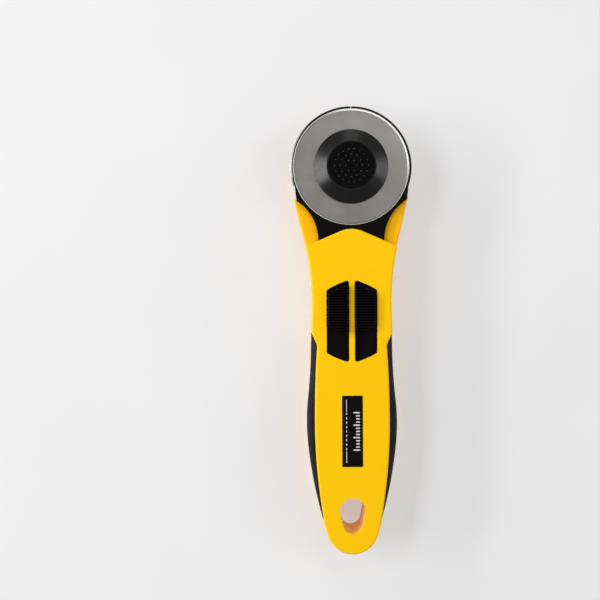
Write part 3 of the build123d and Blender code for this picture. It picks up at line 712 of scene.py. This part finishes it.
def milk_white_acrylic():
    material, tree, shader, place = finish("acrylic_milk_white", IOR=1.49, Roughness=0.9)
    white = two_tone(tree, shader, patches(tree, place, 60, 0, 1), "#F3F3F4", "#F0F0F1")
    through = add(tree, "ShaderNodeBsdfTranslucent", links={"Color": white})
    milky = add(tree, "ShaderNodeMixShader", {0: THROUGH_LIGHT}, {
        1: shader.outputs["BSDF"], 2: through.outputs["BSDF"]})
    behind = add(tree, "ShaderNodeNewGeometry").outputs["Backfacing"]
    clear = add(tree, "ShaderNodeBsdfTransparent")
    one_sided = add(tree, "ShaderNodeMixShader", links={
        0: behind, 1: milky.outputs["Shader"], 2: clear.outputs["BSDF"]})
    surface = tree.get_output_node("ALL").inputs["Surface"]
    tree.links.new(one_sided.outputs["Shader"], surface)
    return material


def acrylic_floor():
    data = bpy.data.meshes.new("floor")
    corners = [(-1, -1), (1, -1), (1, 1), (-1, 1)]
    data.from_pydata([(x * FLOOR_HALF, y * FLOOR_HALF, 0) for x, y in corners], [], [(0, 1, 2, 3)])
    data.materials.append(milk_white_acrylic())
    new_object("floor", data)
    print("side of the floor in metres:", 2 * FLOOR_HALF)


acrylic_floor()


# %% [markdown]
# ## Light from the sky and the table
#
# A dim sky keeps the flat blade mid grey and the blacks black, and the light of the table comes
# up from below the horizon. One strength all round would be simpler, but the blade faces the
# sky and the back faces the table, and each needs its own. The heights are those of a
# direction: 0 is level and 1 is straight up.

# %% Sky
SKY_AT_HORIZON = 0.4
SKY_OVERHEAD = 0.29
OVERHEAD_FROM = 0.8
TABLE_LIGHT = 0.9
TABLE_FULL_BELOW = -0.12
TABLE_NONE_ABOVE = -0.05


def studio_sky():
    world = bpy.data.worlds.new("studio")
    bpy.context.scene.world = world
    world.use_nodes = True
    tree = world.node_tree
    tree.nodes.clear()
    direction = add(tree, "ShaderNodeTexCoord").outputs["Generated"]
    height = add(tree, "ShaderNodeSeparateXYZ", links={"Vector": direction}).outputs["Z"]
    above = add(tree, "ShaderNodeMapRange",
                {"From Min": 0.0, "From Max": OVERHEAD_FROM,
                 "To Min": SKY_AT_HORIZON, "To Max": SKY_OVERHEAD}, {"Value": height})
    below = add(tree, "ShaderNodeMapRange",
                {"From Min": TABLE_FULL_BELOW, "From Max": TABLE_NONE_ABOVE,
                 "To Min": 1.0, "To Max": 0.0}, {"Value": height})
    strength = add(tree, "ShaderNodeMix", {"data_type": "FLOAT", 3: TABLE_LIGHT},
                   {0: below.outputs["Result"], 2: above.outputs["Result"]})
    sky = add(tree, "ShaderNodeBackground", {"Color": (1, 1, 1, 1)},
              {"Strength": strength.outputs[0]})
    add(tree, "ShaderNodeOutputWorld", links={"Surface": sky.outputs["Background"]})
    print("light of the sky:", SKY_AT_HORIZON, "to", SKY_OVERHEAD, "and table:", TABLE_LIGHT)


studio_sky()


# %% [markdown]
# ## Lamps
#
# One big lamp would show the steel and the black plastics as flat shapes, so there are six soft
# boxes, each as low or as high as the surface that mirrors it to the camera needs. Two long, low
# strips make the bright lines on the guard's sloping rim and on the blade's bevel, and a panel
# on each side makes the two bands on the hub's cone. A higher panel lifts the right and upper
# part of the blade, and a weak one beyond the blade gives the far side of the cone its soft
# shine. The left side is the strongest.

# %% Lamps
LAMP_DISTANCE = 1.0


def softbox(name, azimuth, elevation, width, height, brightness):
    """A rectangular lamp that faces the middle of the tool, given by its place in the sky.

    Angles are in degrees and sides in metres. Brightness is for each square metre and
    steradian, so that a larger lamp gives more light and looks no brighter in a reflection.
    """
    lamp = bpy.data.lights.new(name, "AREA")
    lamp.shape = "RECTANGLE"
    lamp.size = width
    lamp.size_y = height
    lamp.energy = brightness * pi * width * height
    turn = radians(azimuth)
    rise = radians(elevation)
    outward = Vector((cos(turn) * cos(rise), sin(turn) * cos(rise), sin(rise)))
    holder = new_object(name, lamp)
    holder.location = outward * LAMP_DISTANCE
    holder.rotation_euler = (-outward).to_track_quat("-Z", "Y").to_euler()
    print(name, "power in watts:", round(lamp.energy, 2))


softbox("strip_left", azimuth=163, elevation=22, width=1.2, height=0.09, brightness=22.0)
softbox("panel_left", azimuth=170, elevation=47, width=0.6, height=0.18, brightness=8.8)
softbox("strip_right", azimuth=0, elevation=23, width=1.2, height=0.08, brightness=4.5)
softbox("panel_right", azimuth=12, elevation=40, width=0.4, height=0.3, brightness=2.4)
softbox("panel_top", azimuth=50, elevation=57, width=1.3, height=0.21, brightness=2.3)
softbox("panel_back", azimuth=86, elevation=35, width=0.3, height=0.2, brightness=1.3)


# %% [markdown]
# ## Camera
#
# The camera looks straight down from about 30 cm above the tool, which lies to the right of the
# middle of the view. From so near, the walls of holes and the sides of tall parts show a little,
# which a longer lens from further away would hide. The lens could be typed in as well, but it
# follows from the height and the width of the field, so that they can't disagree.

# %% Camera
FIELD_WIDTH = 0.232
CAMERA_HEIGHT = 0.32
SENSOR = 36.0
TOOL_RIGHT = 20.0 * MM
AXIS_UP = 51.5 * MM
TOOL_TURN = -0.28


def flat_lay_camera():
    data = bpy.data.cameras.new("camera")
    data.sensor_width = SENSOR
    data.lens = SENSOR * CAMERA_HEIGHT / FIELD_WIDTH
    camera = new_object("camera", data)
    camera.location = (-TOOL_RIGHT, blade_axis.y - AXIS_UP, blade_axis.z + CAMERA_HEIGHT)
    camera.rotation_euler = (0, 0, radians(TOOL_TURN))
    bpy.context.scene.camera = camera
    field = 2 * atan(SENSOR / 2 / data.lens)
    print("field of view in degrees:", round(field * 180 / pi, 1))


flat_lay_camera()
bpy.context.scene.view_settings.view_transform = "Standard"
